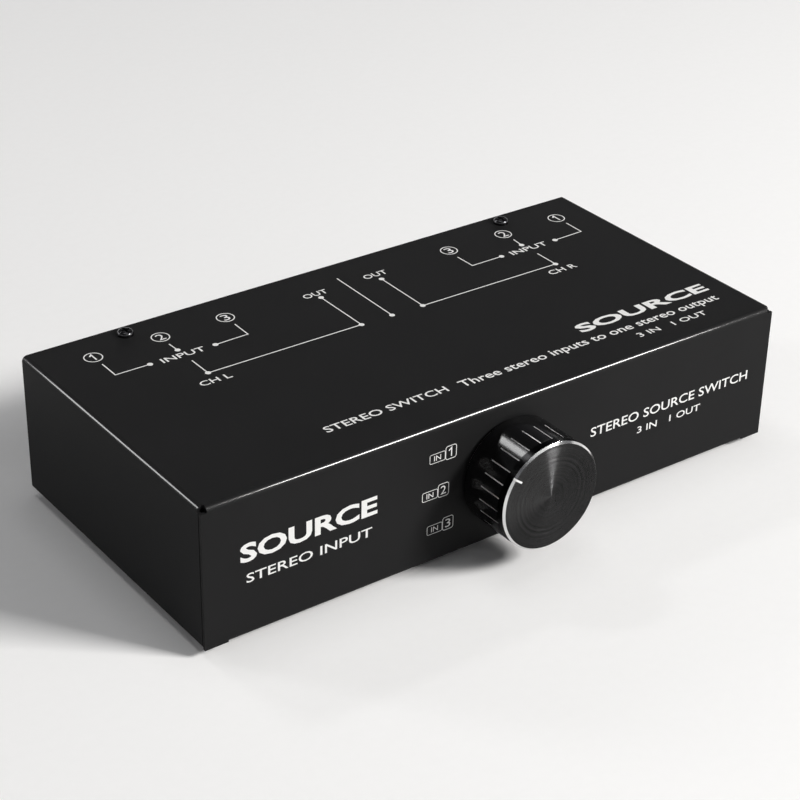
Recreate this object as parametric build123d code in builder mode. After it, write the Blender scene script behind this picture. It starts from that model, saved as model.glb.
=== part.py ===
from build123d import *
import math
import os

# Three-way stereo line selector in a folded steel case.
# Millimetres. +X runs to the right along the front panel, +Y to the rear, +Z up.
# The origin is on the ground, under the middle of the whole outline.

# Case of folded sheet steel
case_height = 52.5
case_depth = 117.0
sheet = 1.2
bend_inner = 0.8
hem_inner = 0.1
seam = 0.4
corner_notch = 2.3
side_flange = 8.0
front_flange = 10.0
flange_notch_gap = 0.7
rear_inset = 0.5
lid_flange = 13.0
end_margin = 4.9

# Feet of the case
foot_radius = 6.0
foot_proud = 3.0
foot_edge_gap = 5.0
foot_edge_round = 0.6

# Pan head screws of the case
pan_head_radius = 2.9
pan_head_height = 1.9
pan_head_round = 1.2
pan_shank_radius = 1.45
pan_grip = 2.6
screw_fit = 0.05
screw_clearance = 0.2
recess_width = 0.8
recess_span = 3.4
recess_depth = 1.0
cover_screw_inset = 5.8
cover_screw_edge = 37.0
flange_screw_inset = 5.0
front_screw_inset = 6.5
side_screw_shares = (0.2, 0.8)
front_screw_share = 0.5

# Sockets in the rear panel
input_count = 3
flange_width = 26.0
flange_extra_height = 5.0
flange_thickness = 2.0
flange_corner = 2.5
flange_bevel = 0.3
flange_gap = 0.35
output_gap = 0.9
group_gap = 9.95
barrel_margin = 1.2
barrel_depth = 16.0
barrel_clearance = 0.2
back_wall = 2.0
socket_screw_edge = 3.5
shell_wall = 2.0
ring_gap = 1.9
core_recess = 0.8
core_bevel = 0.4
insert_fit = 0.05
insert_base_height = 3.0
insert_neck_step = 1.8
output_wall = 3.65
output_bore_depth = 11.0
output_notch_width = 4.6
output_notch_rise = 1.2
output_notch_depth = 6.0
pole_radius = 3.6
pole_angles = (210.0, 330.0, 90.0)
contact_outer_radius = 1.6
contact_inner_radius = 1.25
contact_fit = 0.05
contact_recess = 2.0
contact_bottom = 1.0
pin_radius = 1.2
pin_recess = 1.4
pin_root = 3.0
tail_radius = 0.55
tail_clearance = 0.15
solder_radius = 1.05
solder_height = 0.7
tail_end = 0.5

# Countersunk screws and nuts of the sockets
sink_radius = 2.75
sink_depth = 1.25
sink_angle = 45.0
sink_clearance = 0.1
socket_nut_flats = 5.5
socket_nut_height = 2.4
socket_screw_end = 0.8

# Push latches of the inputs
latch_width = 6.0
latch_height = 4.0
latch_proud = 1.2
latch_thickness = 1.4
latch_stroke = 1.5
latch_gap = 0.3
latch_corner = 0.5
stem_width = 4.0
stem_height = 1.3
stem_end_gap = 0.5
stem_drop = 0.4
hook_height = 1.2
hook_length = 1.6

# Knob
knob_radius = 20.0
knob_gap = 0.8
knob_body_length = 18.2
knob_rear_bevel = 0.5
flute_count = 26
flute_width = 0.36
flute_turn = -3.0
flute_length = 9.5
cap_height = 3.5
cap_bevel = 0.7
cap_inset = 0.05
spigot_radius = 15.0
spigot_height = 1.5
spigot_fit = 0.05
pointer_angle = 143.0
pointer_inner = 16.2
pointer_width = 0.7
pointer_depth = 0.8
knob_cavity_radius = 10.6
knob_cavity_clearance = 0.6
knob_bore_fit = 0.03
knob_bore_end = 1.2
set_screw_radius = 1.5
set_screw_length = 7.0
set_screw_socket = 1.5
set_screw_socket_depth = 1.8
set_screw_fit = 0.05
set_screw_gap = 0.05
set_screw_share = 0.3

# Rotary switch
shaft_radius = 3.0
shaft_flat = 2.0
shaft_end_bevel = 0.5
bushing_radius = 5.0
bushing_fit = 0.05
bushing_hole_fit = 0.1
bushing_proud = 1.0
lock_washer_radius = 8.8
lock_washer_height = 0.6
lock_washer_teeth = 12
lock_washer_tooth = 1.2
nut_flats = 14.0
nut_height = 2.2
clip_radius = 4.4
clip_height = 0.7
clip_gap = 0.15
clip_groove_radius = 2.4
clip_mouth = 3.6
body_radius = 12.4
body_depth = 12.0
body_wall = 1.8
body_front = 3.0
index_count = 12
index_notch_radius = 1.1
stop_washer_radius = 8.2
stop_washer_height = 0.8
stop_washer_fit = 0.05
stop_tongue_width = 2.2
stop_tongue_length = 1.4
peg_radius = 1.2
peg_offset = 10.4
peg_length = 1.0
peg_clearance = 0.2
rotor_radius = 9.7
rotor_gap = 0.4
rotor_height = 5.6
rotor_fit = 0.03
ball_radius = 1.2
ball_hole_fit = 0.1
ball_gap = 0.3
ball_hole_root = 4.6
spring_wire_radius = 0.2
spring_turns = 5
spring_gap = 0.1
wiper_width = 1.6
wiper_inner = 3.4
wiper_outer = 9.0
wiper_height = 0.7
wiper_gap = 0.15
base_height = 2.0
base_fit = 0.05
switch_pin_radius = 0.5
switch_pin_head_radius = 0.9
switch_pin_head_height = 1.0
outer_pin_ring_radius = 8.0
inner_pin_ring_radius = 4.3
inner_pin_count = 4
rotor_angle = 9.0

# Circuit boards, headers and flat cables
board_thickness = 1.6
socket_board_gap = 2.0
socket_board_edge = 6.25
socket_board_end = 9.0
switch_board_gap = 3.0
switch_board_width = 36.0
switch_board_edge = 8.25
header_width = 13.0
header_height = 5.0
header_depth = 6.0
header_gap = 3.0
header_drop = 12.5
cable_width = 11.5
cable_thickness = 0.9
cable_floor_gap = 1.9
cable_lead = 7.0
cable_bend = 5.0

# One overrun for every cut that passes through a face
overrun = 1.0

# Places worked out from the sizes
bend_outer = bend_inner + sheet
hem_outer = hem_inner + sheet
flange_height = flange_width + flange_extra_height
socket_pitch = flange_width + flange_gap
output_x = (flange_width + output_gap) / 2
third_x = output_x + flange_width + group_gap
input_places = {
    number: third_x + (input_count - number) * socket_pitch
    for number in range(1, input_count + 1)
}
half_width = max(input_places.values()) + flange_width / 2 + end_margin
case_width = 2 * half_width

knob_reach = knob_gap + knob_body_length + cap_height
socket_reach = flange_thickness + latch_proud - rear_inset
overall_depth = knob_reach + case_depth + socket_reach
front_y = knob_reach - overall_depth / 2
rear_y = front_y + case_depth
panel_y = rear_y - rear_inset
case_z = foot_proud
top_z = case_z + case_height
base_z = case_z + sheet
lid_z = top_z - sheet
axis_z = case_z + case_height / 2
flange_notch = side_flange + flange_notch_gap
fold_leg = bend_outer + sheet
base_half = half_width - bend_outer - seam
base_front = front_y + bend_outer + seam

cover_screw_x = half_width - cover_screw_edge
cover_screw_y = rear_y - cover_screw_inset
cover_screw_places = [(-cover_screw_x, cover_screw_y), (cover_screw_x, cover_screw_y)]
side_screw_x = half_width - flange_screw_inset
side_screw_ys = [front_y + share * case_depth for share in side_screw_shares]
front_screw_x = front_screw_share * half_width
base_screw_places = [(side * side_screw_x, y) for side in (-1, 1) for y in side_screw_ys]
base_screw_places += [(side * front_screw_x, front_y + front_screw_inset) for side in (-1, 1)]
pan_hole_radius = pan_shank_radius + screw_clearance
thread_radius = pan_shank_radius + screw_fit

foot_x = half_width - side_flange - foot_edge_gap - foot_radius
foot_front_y = front_y + front_flange + foot_edge_gap + foot_radius
foot_rear_y = panel_y - bend_outer - foot_edge_gap - foot_radius
foot_places = [(side * foot_x, y) for side in (-1, 1) for y in (foot_front_y, foot_rear_y)]

socket_screw_span = flange_width - 2 * socket_screw_edge
socket_screw_rise = flange_height - 2 * socket_screw_edge
socket_screw_spots = [
    (-socket_screw_span / 2, socket_screw_rise / 2),
    (socket_screw_span / 2, -socket_screw_rise / 2),
]
pole_spots = [
    (pole_radius * math.cos(math.radians(angle)), pole_radius * math.sin(math.radians(angle)))
    for angle in pole_angles
]
barrel_radius = flange_width / 2 - barrel_margin
input_bore_radius = barrel_radius - shell_wall
core_radius = input_bore_radius - ring_gap
insert_neck_radius = input_bore_radius - insert_neck_step
output_bore_radius = barrel_radius - output_wall
input_bore_depth = barrel_depth - back_wall
stem_length = input_bore_depth - insert_base_height - latch_stroke - stem_end_gap
socket_board_depth = barrel_depth + socket_board_gap
tail_depth = socket_board_depth + board_thickness + solder_height + tail_end

# Plane on the outside of the front panel, looking out along the knob's axis
front_plane = Plane(origin=(0, front_y, axis_z), x_dir=(1, 0, 0), z_dir=(0, -1, 0))

bushing_end = lock_washer_height + nut_height + bushing_proud
clip_start = bushing_end + clip_gap
clip_end = clip_start + clip_height
knob_cavity_depth = clip_end + knob_cavity_clearance - knob_gap
knob_front = knob_gap + knob_body_length
shaft_tip = knob_front - spigot_height - 2 * knob_bore_end
hub_start = knob_gap + knob_cavity_depth
set_screw_place = hub_start + set_screw_share * (shaft_tip - hub_start)
set_screw_angle = pointer_angle + 180.0
body_inner_radius = body_radius - body_wall
body_face = -sheet
cavity_front = body_face - body_front
body_back = body_face - body_depth
rotor_front = cavity_front - rotor_gap
rotor_back = rotor_front - rotor_height
wiper_back = rotor_back - wiper_height
pin_head_front = wiper_back - wiper_gap
base_front_face = pin_head_front - switch_pin_head_height
base_back = body_back - base_height
switch_board_front = base_back - switch_board_gap
switch_board_back = switch_board_front - board_thickness
switch_pin_end = switch_board_back - solder_height - tail_end
ball_place = body_inner_radius - ball_gap - ball_radius


def save(piece, name):
    """Labels a finished piece and writes it to a file of its own."""
    piece.part.label = name
    export_step(piece.part, f"parts/{name}.step")


def fold(plane, inner, leg, length):
    """One bend of the sheet: its sharp corner is the plane's origin and a leg runs along the plane's x."""
    outer = inner + sheet
    with BuildPart() as strip:
        with BuildSketch(plane):
            with BuildLine():
                CenterArc((outer, outer), outer, 180, 90)
                Polyline((outer, 0), (leg, 0), (leg, sheet), (outer, sheet))
                CenterArc((outer, outer), inner, 180, 90)
                Line((sheet, outer), (0, outer))
            make_face()
        extrude(amount=length)
    return strip.part


def ring(plane, outer, inner, height):
    """A plain ring that stands on the plane."""
    with BuildPart() as band:
        with BuildSketch(plane):
            Circle(outer)
            Circle(inner, mode=Mode.SUBTRACT)
        extrude(amount=height)
    return band.part


def rod(plane, radius, length):
    """A round bar that stands on the plane."""
    with BuildPart() as bar:
        with BuildSketch(plane):
            Circle(radius)
        extrude(amount=length)
    return bar.part


def pan_screw(plane, grip):
    """A pan head screw with a cross recess, its head seated on the plane."""
    with BuildPart() as screw:
        with BuildSketch(plane):
            Circle(pan_head_radius)
        extrude(amount=pan_head_height)
        crown = screw.faces().sort_by(Axis(plane.origin, plane.z_dir))[-1]
        fillet(crown.edges(), pan_head_round)
        with BuildSketch(plane):
            Circle(pan_shank_radius)
        extrude(amount=-grip)
        with BuildSketch(plane.offset(pan_head_height)):
            Rectangle(recess_span, recess_width)
            Rectangle(recess_width, recess_span)
        extrude(amount=-recess_depth, mode=Mode.SUBTRACT)
    return screw.part


def upward(x, y, z):
    """A level plane at a place, facing up."""
    return Plane(origin=(x, y, z))


def downward(x, y, z):
    """A level plane at a place, facing down."""
    return Plane(origin=(x, y, z), x_dir=(1, 0, 0), z_dir=(0, 0, -1))


def socket_plane(x):
    """The outside of the rear panel at one socket, looking out to the rear."""
    return Plane(origin=(x, panel_y, axis_z), x_dir=(-1, 0, 0), z_dir=(0, 1, 0))


def radial_plane(angle, place):
    """A plane on the knob's axis that looks out sideways, at a distance out from the front panel."""
    turn = math.radians(angle)
    centre = front_plane.offset(place).origin
    return Plane(origin=centre, x_dir=(0, -1, 0), z_dir=(math.cos(turn), 0, math.sin(turn)))


os.makedirs("parts", exist_ok=True)

# Top cover: top, front and sides of one sheet, folded along the upper edges and under the lower edges
side_front = front_y + sheet + seam
side_depth = rear_y - side_front
with BuildPart() as top_cover:
    with Locations((0, front_y + bend_outer, top_z)):
        top_depth = case_depth - bend_outer
        Box(case_width - 2 * bend_outer, top_depth, sheet, align=(Align.CENTER, Align.MIN, Align.MAX))
    flat_height = case_height - bend_outer - hem_outer
    with Locations((0, front_y, case_z + hem_outer)):
        Box(case_width, sheet, flat_height, align=(Align.CENTER, Align.MIN, Align.MIN))
    for side in (Align.MIN, Align.MAX):
        edge_x = -half_width if side == Align.MIN else half_width
        with Locations((edge_x, front_y, case_z)):
            Box(flange_notch, sheet, hem_outer, align=(side, Align.MIN, Align.MIN))
        with Locations((edge_x, side_front, case_z + hem_outer)):
            Box(sheet, side_depth, flat_height, align=(side, Align.MIN, Align.MIN))
    across = case_width - 2 * corner_notch
    along = case_depth - corner_notch
    front_corner = (half_width - corner_notch, front_y, top_z)
    add(fold(Plane(origin=front_corner, x_dir=(0, 1, 0), z_dir=(-1, 0, 0)), bend_inner, fold_leg, across))
    left_corner = (-half_width, front_y + corner_notch, top_z)
    add(fold(Plane(origin=left_corner, x_dir=(1, 0, 0), z_dir=(0, 1, 0)), bend_inner, fold_leg, along))
    right_corner = (half_width, rear_y, top_z)
    add(fold(Plane(origin=right_corner, x_dir=(-1, 0, 0), z_dir=(0, -1, 0)), bend_inner, fold_leg, along))
    under_front = (flange_notch - half_width, front_y, case_z)
    under_length = case_width - 2 * flange_notch
    front_hem = Plane(origin=under_front, x_dir=(0, 1, 0), z_dir=(1, 0, 0))
    add(fold(front_hem, hem_inner, front_flange, under_length))
    under_left = (-half_width, rear_y, case_z)
    left_hem = Plane(origin=under_left, x_dir=(1, 0, 0), z_dir=(0, -1, 0))
    add(fold(left_hem, hem_inner, side_flange, side_depth))
    under_right = (half_width, side_front, case_z)
    right_hem = Plane(origin=under_right, x_dir=(-1, 0, 0), z_dir=(0, 1, 0))
    add(fold(right_hem, hem_inner, side_flange, side_depth))
    with BuildSketch(Plane.XY.offset(top_z)):
        with Locations(*cover_screw_places):
            Circle(pan_hole_radius)
    extrude(amount=-sheet, mode=Mode.SUBTRACT)
    with BuildSketch(Plane.XY.offset(case_z)):
        with Locations(*base_screw_places):
            Circle(pan_hole_radius)
    extrude(amount=sheet, mode=Mode.SUBTRACT)
    with BuildSketch(front_plane):
        Circle(bushing_radius + bushing_hole_fit)
        with Locations((0, -peg_offset)):
            Circle(peg_radius + peg_clearance)
    extrude(amount=-sheet, mode=Mode.SUBTRACT)
save(top_cover, "top_cover")

# Base tray: bottom and rear panel of one sheet, with a flange under the cover's rear edge
with BuildPart() as base_tray:
    bottom_depth = panel_y - bend_outer - base_front
    with Locations((0, base_front, base_z)):
        Box(2 * base_half, bottom_depth, sheet, align=(Align.CENTER, Align.MIN, Align.MIN))
    with Locations((0, panel_y, base_z + bend_outer)):
        panel_height = lid_z - base_z - 2 * bend_outer
        Box(2 * base_half, sheet, panel_height, align=(Align.CENTER, Align.MAX, Align.MIN))
    heel = (base_half, panel_y, base_z)
    heel_bend = Plane(origin=heel, x_dir=(0, -1, 0), z_dir=(-1, 0, 0))
    add(fold(heel_bend, bend_inner, fold_leg, 2 * base_half))
    brow = (-base_half, panel_y, lid_z)
    brow_bend = Plane(origin=brow, x_dir=(0, -1, 0), z_dir=(1, 0, 0))
    add(fold(brow_bend, bend_inner, lid_flange, 2 * base_half))
    with BuildSketch(Plane.XY.offset(lid_z)):
        with Locations(*cover_screw_places):
            Circle(thread_radius)
    extrude(amount=-sheet, mode=Mode.SUBTRACT)
    with BuildSketch(Plane.XY.offset(base_z)):
        with Locations(*base_screw_places):
            Circle(thread_radius)
    extrude(amount=sheet, mode=Mode.SUBTRACT)
    socket_xs = [side * x for side in (-1, 1) for x in (output_x, *input_places.values())]
    for socket_x in socket_xs:
        with BuildSketch(socket_plane(socket_x)):
            Circle(barrel_radius + barrel_clearance)
            with Locations(*socket_screw_spots):
                Circle(pan_hole_radius)
        extrude(amount=-sheet, mode=Mode.SUBTRACT)
save(base_tray, "base_tray")

# Screws of the case
with BuildPart() as cover_screws:
    for x, y in cover_screw_places:
        add(pan_screw(upward(x, y, top_z), 2 * sheet + pan_grip))
save(cover_screws, "cover_screws")

with BuildPart() as base_screws:
    for x, y in base_screw_places:
        add(pan_screw(downward(x, y, case_z), 2 * sheet + pan_grip))
save(base_screws, "base_screws")

# Rubber feet, stuck on the bottom plate inside the flanges
with BuildPart() as rubber_feet:
    with BuildSketch(Plane.XY.offset(base_z)):
        with Locations(*foot_places):
            Circle(foot_radius)
    extrude(amount=-base_z)
    fillet(rubber_feet.faces().group_by(Axis.Z)[0].edges(), foot_edge_round)
save(rubber_feet, "rubber_feet")


def flanged_barrel(plane):
    """The die-cast flange and barrel that every socket shell starts from."""
    with BuildPart() as blank:
        with BuildSketch(plane):
            RectangleRounded(flange_width, flange_height, flange_corner)
        extrude(amount=flange_thickness)
        chamfer(blank.faces().sort_by(Axis.Y)[-1].edges(), flange_bevel)
        with BuildSketch(plane):
            Circle(barrel_radius)
        extrude(amount=-barrel_depth)
        with BuildSketch(plane.offset(flange_thickness)):
            with Locations(*socket_screw_spots):
                Circle(sink_radius + sink_clearance)
        extrude(amount=-sink_depth, taper=sink_angle, mode=Mode.SUBTRACT)
        with BuildSketch(plane):
            with Locations(*socket_screw_spots):
                Circle(pan_hole_radius)
        extrude(amount=flange_thickness, mode=Mode.SUBTRACT)
    return blank.part


def tails(plane, depth):
    """Three soldered tails that run from a depth inside a socket through the circuit board."""
    with BuildPart() as wires:
        with BuildSketch(plane.offset(-depth)):
            with Locations(*pole_spots):
                Circle(tail_radius)
        extrude(amount=depth - tail_depth)
        with BuildSketch(plane.offset(-socket_board_depth - board_thickness)):
            with Locations(*pole_spots):
                Circle(solder_radius)
        extrude(amount=-solder_height)
    return wires.part


def input_socket(name, x):
    """A female socket: shell, insert, contacts and push latch."""
    plane = socket_plane(x)
    slot_bottom = input_bore_radius - stem_drop
    tab_bottom = slot_bottom + latch_gap
    slot_height = latch_height + 2 * latch_gap
    stem_slot_top = tab_bottom + stem_height + latch_gap
    with BuildPart() as shell:
        add(flanged_barrel(plane))
        with BuildSketch(plane.offset(flange_thickness)):
            Circle(input_bore_radius)
        extrude(amount=-flange_thickness - input_bore_depth, mode=Mode.SUBTRACT)
        with BuildSketch(plane.offset(-input_bore_depth)):
            Circle(insert_neck_radius + insert_fit)
        extrude(amount=-back_wall, mode=Mode.SUBTRACT)
        with BuildSketch(plane):
            with Locations((0, slot_bottom)):
                Rectangle(latch_width + 2 * latch_gap, slot_height, align=(Align.CENTER, Align.MIN))
        extrude(amount=flange_thickness, mode=Mode.SUBTRACT)
        with BuildSketch(plane):
            with Locations((0, slot_bottom)):
                stem_slot_height = stem_slot_top - slot_bottom
                Rectangle(stem_width + 2 * latch_gap, stem_slot_height, align=(Align.CENTER, Align.MIN))
        extrude(amount=-stem_length - latch_stroke - latch_gap, mode=Mode.SUBTRACT)
    save(shell, f"{name}_shell")

    core_front = flange_thickness - core_recess
    contact_floor = input_bore_depth - contact_bottom
    with BuildPart() as insert:
        with BuildSketch(plane.offset(-input_bore_depth)):
            Circle(core_radius)
        extrude(amount=input_bore_depth + core_front)
        chamfer(insert.faces().sort_by(Axis.Y)[-1].edges(), core_bevel)
        add(rod(plane.offset(-input_bore_depth), input_bore_radius - insert_fit, insert_base_height))
        add(rod(plane.offset(-input_bore_depth), insert_neck_radius, -back_wall))
        with BuildSketch(plane.offset(core_front)):
            with Locations(*pole_spots):
                Circle(contact_outer_radius + contact_fit)
        extrude(amount=-core_front - contact_floor, mode=Mode.SUBTRACT)
        with BuildSketch(plane.offset(-barrel_depth)):
            with Locations(*pole_spots):
                Circle(tail_radius + tail_clearance)
        extrude(amount=barrel_depth - contact_floor, mode=Mode.SUBTRACT)
    save(insert, f"{name}_insert")

    contact_front = core_front - contact_recess
    with BuildPart() as contacts:
        with BuildSketch(plane.offset(-contact_floor)):
            with Locations(*pole_spots):
                Circle(contact_outer_radius)
        extrude(amount=contact_floor + contact_front)
        with BuildSketch(plane.offset(contact_front)):
            with Locations(*pole_spots):
                Circle(contact_inner_radius)
        extrude(amount=contact_bottom - contact_floor - contact_front, mode=Mode.SUBTRACT)
        add(tails(plane, contact_floor))
    save(contacts, f"{name}_contacts")

    tab_front = flange_thickness + latch_proud
    tab_back = tab_front - latch_thickness
    with BuildPart() as latch:
        with BuildSketch(plane.offset(tab_back)):
            with Locations((0, tab_bottom + latch_height / 2)):
                RectangleRounded(latch_width, latch_height, latch_corner)
        extrude(amount=latch_thickness)
        with BuildSketch(plane.offset(tab_back)):
            with Locations((0, tab_bottom)):
                Rectangle(stem_width, stem_height, align=(Align.CENTER, Align.MIN))
        extrude(amount=-tab_back - stem_length)
        with BuildSketch(plane.offset(-stem_length)):
            with Locations((0, tab_bottom)):
                Rectangle(stem_width, hook_height, align=(Align.CENTER, Align.MAX))
        extrude(amount=hook_length)
    save(latch, f"{name}_latch")


def output_socket(name, x):
    """A male socket: shell, insert and pins."""
    plane = socket_plane(x)
    seat_radius = input_bore_radius
    seat_depth = barrel_depth - output_bore_depth
    with BuildPart() as shell:
        add(flanged_barrel(plane))
        with BuildSketch(plane.offset(flange_thickness)):
            Circle(output_bore_radius)
        extrude(amount=-flange_thickness - output_bore_depth, mode=Mode.SUBTRACT)
        with BuildSketch(plane.offset(-barrel_depth)):
            Circle(seat_radius)
        extrude(amount=seat_depth, mode=Mode.SUBTRACT)
        with BuildSketch(plane.offset(flange_thickness)):
            with Locations((0, output_bore_radius + output_notch_rise)):
                Rectangle(output_notch_width, output_bore_radius, align=(Align.CENTER, Align.MAX))
        extrude(amount=-output_notch_depth, mode=Mode.SUBTRACT)
    save(shell, f"{name}_shell")

    pin_floor = output_bore_depth + pin_root
    with BuildPart() as insert:
        add(rod(plane.offset(-barrel_depth), seat_radius - insert_fit, seat_depth))
        with BuildSketch(plane.offset(-output_bore_depth)):
            with Locations(*pole_spots):
                Circle(pin_radius + contact_fit)
        extrude(amount=-pin_root, mode=Mode.SUBTRACT)
        with BuildSketch(plane.offset(-barrel_depth)):
            with Locations(*pole_spots):
                Circle(tail_radius + tail_clearance)
        extrude(amount=barrel_depth - pin_floor, mode=Mode.SUBTRACT)
    save(insert, f"{name}_insert")

    pin_front = flange_thickness - pin_recess
    with BuildPart() as pins:
        with BuildSketch(plane.offset(-pin_floor)):
            with Locations(*pole_spots):
                Circle(pin_radius)
        extrude(amount=pin_floor + pin_front)
        fillet(pins.faces().group_by(Axis.Y)[-1].edges(), pin_radius / 2)
        add(tails(plane, pin_floor))
    save(pins, f"{name}_pins")


# Sockets of both channels, mirrored about the middle of the rear panel
for channel, side in (("left", -1), ("right", 1)):
    for number, place in input_places.items():
        input_socket(f"{channel}_input_{number}", side * place)
    output_socket(f"{channel}_output", side * output_x)

# Screws and nuts of the sockets
with BuildPart() as socket_screws:
    for socket_x in socket_xs:
        face = socket_plane(socket_x).offset(flange_thickness)
        with BuildSketch(face):
            with Locations(*socket_screw_spots):
                Circle(sink_radius)
        extrude(amount=-sink_depth, taper=sink_angle)
        with BuildSketch(face):
            with Locations(*socket_screw_spots):
                Circle(pan_shank_radius)
        extrude(amount=-flange_thickness - sheet - socket_nut_height - socket_screw_end)
        with BuildSketch(face):
            with Locations(*socket_screw_spots):
                Rectangle(recess_span, recess_width)
                Rectangle(recess_width, recess_span)
        extrude(amount=-recess_depth, mode=Mode.SUBTRACT)
save(socket_screws, "socket_screws")

with BuildPart() as socket_nuts:
    for socket_x in socket_xs:
        with BuildSketch(socket_plane(socket_x).offset(-sheet)):
            with Locations(*socket_screw_spots):
                RegularPolygon(socket_nut_flats / 2, 6, major_radius=False)
                Circle(thread_radius, mode=Mode.SUBTRACT)
        extrude(amount=-socket_nut_height)
save(socket_nuts, "socket_nuts")

# Circuit board behind the sockets
socket_board_y = panel_y - socket_board_depth
with BuildPart() as socket_board:
    board_width = 2 * (base_half - socket_board_end)
    with BuildSketch(Plane(origin=(0, socket_board_y, axis_z), x_dir=(-1, 0, 0), z_dir=(0, 1, 0))):
        Rectangle(board_width, case_height - 2 * socket_board_edge)
    extrude(amount=-board_thickness)
    for socket_x in socket_xs:
        with BuildSketch(socket_plane(socket_x).offset(-socket_board_depth)):
            with Locations(*pole_spots):
                Circle(tail_radius + tail_clearance)
        extrude(amount=-board_thickness, mode=Mode.SUBTRACT)
save(socket_board, "socket_board")

# Knob body: turned barrel with straight flutes, hollow at the rear over the switch's nut
with BuildPart() as knob_body:
    with BuildSketch(front_plane.offset(knob_gap)):
        Circle(knob_radius)
    extrude(amount=knob_body_length)
    chamfer(knob_body.faces().sort_by(Axis.Y)[-1].edges(), knob_rear_bevel)
    with BuildSketch(front_plane.offset(knob_front - flute_length)):
        with PolarLocations(knob_radius, flute_count, start_angle=pointer_angle + flute_turn):
            Rectangle(flute_width, flute_width, rotation=45)
    extrude(amount=flute_length, mode=Mode.SUBTRACT)
    with BuildSketch(front_plane.offset(knob_front)):
        Circle(spigot_radius + spigot_fit)
    extrude(amount=-spigot_height, mode=Mode.SUBTRACT)
    with BuildSketch(front_plane.offset(knob_gap)):
        Circle(knob_cavity_radius)
    extrude(amount=knob_cavity_depth, mode=Mode.SUBTRACT)
    with BuildSketch(front_plane.offset(knob_gap)):
        Circle(shaft_radius + knob_bore_fit)
    extrude(amount=shaft_tip + knob_bore_end - knob_gap, mode=Mode.SUBTRACT)
    with BuildSketch(radial_plane(set_screw_angle, set_screw_place)):
        Circle(set_screw_radius + set_screw_fit)
    extrude(amount=knob_radius + overrun, mode=Mode.SUBTRACT)
save(knob_body, "knob_body")

# Knob cap: spun face with a cut rim, held in the barrel by its spigot
cap_radius = knob_radius - cap_inset
pointer_length = cap_radius - pointer_inner
pointer_turn = math.radians(pointer_angle)
pointer_start = (pointer_inner * math.cos(pointer_turn), pointer_inner * math.sin(pointer_turn))
pointer_floor = front_plane.offset(knob_front + cap_height - pointer_depth)


def cap_disc():
    """The turned disc of the cap with its cut rim, before the pointer's groove."""
    with BuildPart() as disc:
        with BuildSketch(front_plane.offset(knob_front)):
            Circle(cap_radius)
        extrude(amount=cap_height)
        chamfer(disc.faces().sort_by(Axis.Y)[0].edges(), cap_bevel)
    return disc.part


with BuildPart() as knob_cap:
    add(cap_disc())
    with BuildSketch(front_plane.offset(knob_front)):
        Circle(spigot_radius)
    extrude(amount=-spigot_height)
    with BuildSketch(pointer_floor):
        with Locations(Location(pointer_start, pointer_angle)):
            Rectangle(pointer_length, pointer_width, align=(Align.MIN, Align.CENTER))
    extrude(amount=pointer_depth, mode=Mode.SUBTRACT)
save(knob_cap, "knob_cap")

# Pointer: white enamel that fills a groove across the face and the rim
with BuildPart() as knob_pointer:
    add(cap_disc())
    with BuildSketch(pointer_floor):
        with Locations(Location(pointer_start, pointer_angle)):
            Rectangle(pointer_length, pointer_width, align=(Align.MIN, Align.CENTER))
    extrude(amount=pointer_depth, mode=Mode.INTERSECT)
save(knob_pointer, "knob_pointer")

# Set screw that clamps the knob on the shaft's flat
with BuildPart() as knob_set_screw:
    screw_seat = radial_plane(set_screw_angle, set_screw_place).offset(shaft_flat + set_screw_gap)
    add(rod(screw_seat, set_screw_radius, set_screw_length))
    with BuildSketch(screw_seat.offset(set_screw_length)):
        RegularPolygon(set_screw_socket / 2, 6, major_radius=False)
    extrude(amount=-set_screw_socket_depth, mode=Mode.SUBTRACT)
save(knob_set_screw, "knob_set_screw")

# Switch shaft with a flat for the set screw and a groove for the clip
with BuildPart() as switch_shaft:
    with BuildSketch(front_plane.offset(rotor_back)):
        Circle(shaft_radius)
    extrude(amount=shaft_tip - rotor_back)
    chamfer(switch_shaft.faces().sort_by(Axis.Y)[0].edges(), shaft_end_bevel)
    groove = ring(front_plane.offset(clip_start), shaft_radius + overrun, clip_groove_radius, clip_height)
    add(groove, mode=Mode.SUBTRACT)
    with BuildSketch(radial_plane(set_screw_angle, hub_start).offset(shaft_flat)):
        Rectangle(shaft_tip + overrun - hub_start, 2 * shaft_radius, align=(Align.MIN, Align.CENTER))
    extrude(amount=shaft_radius, mode=Mode.SUBTRACT)
save(switch_shaft, "switch_shaft")

# Retaining clip in front of the bushing
with BuildPart() as shaft_clip:
    with BuildSketch(front_plane.offset(clip_start)):
        Circle(clip_radius)
        Circle(clip_groove_radius + screw_fit, mode=Mode.SUBTRACT)
        Rectangle(clip_mouth, clip_radius + overrun, align=(Align.CENTER, Align.MAX), mode=Mode.SUBTRACT)
    extrude(amount=clip_height)
save(shaft_clip, "shaft_clip")

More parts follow.
